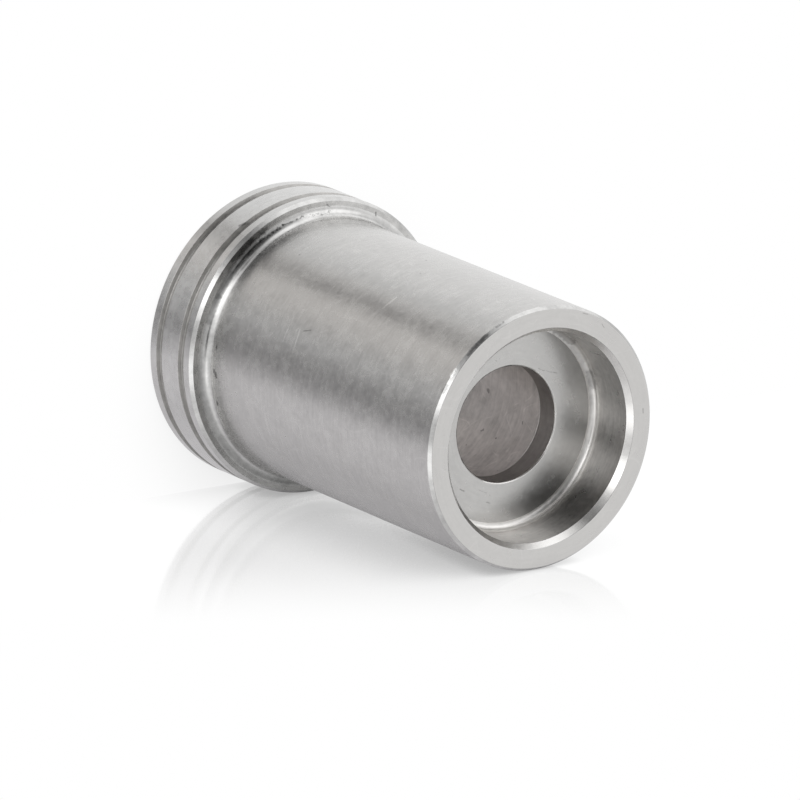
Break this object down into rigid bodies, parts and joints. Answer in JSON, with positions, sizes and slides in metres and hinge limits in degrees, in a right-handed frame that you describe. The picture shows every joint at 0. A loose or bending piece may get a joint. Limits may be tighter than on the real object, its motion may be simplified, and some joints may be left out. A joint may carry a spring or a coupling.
{
  "type": "locating bushing",
  "caption": "Turned and ground steel locating bushing: plain body, grooved head, counterbored open end and a web with a clearance bore.",
  "frame": {"origin": "centre of the head's back face, on which the bushing stands", "axes": "+Z along the bushing's axis, from the head towards the open, counterbored end"},
  "size_m": [0.0286, 0.0284, 0.043],
  "materials": {
    "ground_steel": "ground and turned steel, bare"
  },
  "bodies": {
    "root": {"bushing": "ground_steel"}
  },
  "joints": []
}
